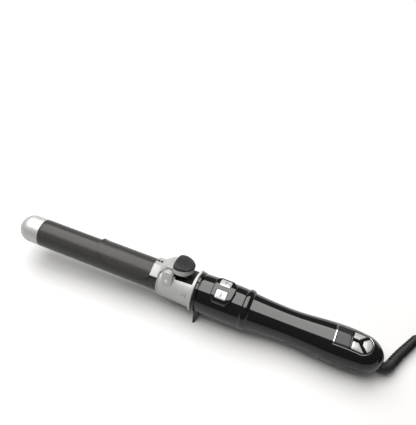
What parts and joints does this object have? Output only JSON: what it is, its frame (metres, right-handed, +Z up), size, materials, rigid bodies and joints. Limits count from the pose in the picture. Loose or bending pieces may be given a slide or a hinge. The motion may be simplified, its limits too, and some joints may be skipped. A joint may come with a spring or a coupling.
{
  "type": "automatic hair curler",
  "caption": "Hair curling wand with a motor-turned barrel, a sprung clamp on the barrel, direction buttons, a tail display panel and a swivel cord.",
  "frame": {"origin": "on the surface the curler stands on, midway between its two feet", "axes": "+X from the barrel's tip towards the cord along the ground line of the barrel axis, +Y to the far side, +Z up; the barrel axis leans nose up by 3 degrees because the curler stands on its feet and its handle's heel"},
  "size_m": [0.4951, 0.1028, 0.0553],
  "materials": {
    "satin_silver": "satin silver",
    "barrel_coating": "semi-gloss dark grey ceramic coating",
    "gloss_black": "high gloss black",
    "grip_matte": "matte dark grey soft-touch",
    "thumb_rubber": "matte ribbed rubber",
    "plug_black": "matte black",
    "chrome_trim": "bright chrome",
    "screen_glass": "dark glossy window",
    "button_silver": "bright silver",
    "cord_rubber": "matte black",
    "bright_steel": "bright",
    "copper": "bare",
    "heater_aluminium": "bare",
    "heater_ceramic": "ceramic, matte",
    "inner_plastic": "matte natural",
    "board_green": "solder mask"
  },
  "bodies": {
    "handle": {"handle_top_shell": "gloss_black", "handle_bottom_shell": "gloss_black", "grip_skin": "grip_matte", "shell_screws": "bright_steel", "trim_bead": "gloss_black", "button_pod": "gloss_black", "display_lens": "screen_glass", "display_bezel": "chrome_trim", "panel_divider": "gloss_black", "stand_ring": "gloss_black", "front_bearing": "copper", "bearing_carrier": "inner_plastic", "brush_holder": "inner_plastic", "brushes": "copper", "pod_board": "board_green", "pod_switches": "inner_plastic", "motor_mount": "inner_plastic", "gearbox": "inner_plastic", "motor_can": "bright_steel", "main_board": "board_green", "control_board": "board_green", "lcd_module": "inner_plastic", "panel_switches": "inner_plastic", "swivel_socket": "inner_plastic"},
    "barrel": {"tip_cap": "satin_silver", "tip_plug": "plug_black", "barrel_tube": "barrel_coating", "heat_block_upper": "heater_aluminium", "heat_block_lower": "heater_aluminium", "ptc_heater": "heater_ceramic", "insulation_sleeve": "inner_plastic", "thermistor": "heater_ceramic", "barrel_collar": "satin_silver", "collar_flange": "satin_silver", "barrel_shaft": "bright_steel", "ring_insulator": "inner_plastic", "slip_rings": "copper", "ring_gear": "inner_plastic", "hinge_pin": "bright_steel", "hinge_spring": "bright_steel", "barrel_rivets": "bright_steel"},
    "clamp": {"clamp_plate": "barrel_coating", "clamp_lever": "satin_silver", "thumb_pad": "thumb_rubber", "clamp_screws": "bright_steel"},
    "pinion": {"pinion": "inner_plastic", "pinion_shaft": "bright_steel"},
    "direction_near": {"direction_button_near": "button_silver"},
    "direction_far": {"direction_button_far": "button_silver"},
    "panel_near": {"panel_button_near": "button_silver"},
    "panel_far": {"panel_button_far": "button_silver"},
    "panel_rear": {"panel_button_rear": "button_silver"},
    "swivel": {"swivel_stem": "inner_plastic", "cord_boot": "cord_rubber", "cord_lead": "cord_rubber", "cord_coil": "cord_rubber", "cord_tail": "cord_rubber", "coil_tie": "plug_black", "plug_body": "plug_black", "plug_pins": "bright_steel"}
  },
  "joints": [
    {"name": "barrel_spin", "type": "hinge", "parent": "handle", "child": "barrel", "pos_m": [-0.05859, 0, 0.02859], "axis": [0.9986, 0, -0.0522], "continuous": true},
    {"name": "clamp_open", "type": "hinge", "parent": "barrel", "child": "clamp", "pos_m": [-0.02876, 0.0041, 0.03617], "axis": [-0.0214, 0.9121, -0.4094], "range_deg": [0, 20], "stiffness_Nm_per_rad": 0.25, "springref_deg": -22.92},
    {"name": "pinion_spin", "type": "hinge", "parent": "handle", "child": "pinion", "pos_m": [0.02441, 0, 0.01884], "axis": [0.9986, 0, -0.0522], "continuous": true},
    {"name": "direction_near_press", "type": "slide", "parent": "handle", "child": "direction_near", "axis": [-0.0499, 0.2924, -0.955], "range_m": [0, 0.0008], "stiffness_N_per_m": 900, "springref_m": -0.0008},
    {"name": "direction_far_press", "type": "slide", "parent": "handle", "child": "direction_far", "axis": [-0.0499, -0.2924, -0.955], "range_m": [0, 0.0008], "stiffness_N_per_m": 900, "springref_m": -0.0008},
    {"name": "panel_near_press", "type": "slide", "parent": "handle", "child": "panel_near", "axis": [-0.0522, 0, -0.9986], "range_m": [0, 0.0008], "stiffness_N_per_m": 900, "springref_m": -0.0008},
    {"name": "panel_far_press", "type": "slide", "parent": "handle", "child": "panel_far", "axis": [-0.0522, 0, -0.9986], "range_m": [0, 0.0008], "stiffness_N_per_m": 900, "springref_m": -0.0008},
    {"name": "panel_rear_press", "type": "slide", "parent": "handle", "child": "panel_rear", "axis": [-0.0522, 0, -0.9986], "range_m": [0, 0.0008], "stiffness_N_per_m": 900, "springref_m": -0.0008},
    {"name": "cord_swivel", "type": "hinge", "parent": "handle", "child": "swivel", "pos_m": [0.1561, 0, 0.00936], "axis": [0.9986, 0, -0.0522], "continuous": true}
  ],
  "couplings": [
    {"joint": "pinion_spin", "follows": "barrel_spin", "ratio": 2.5}
  ]
}
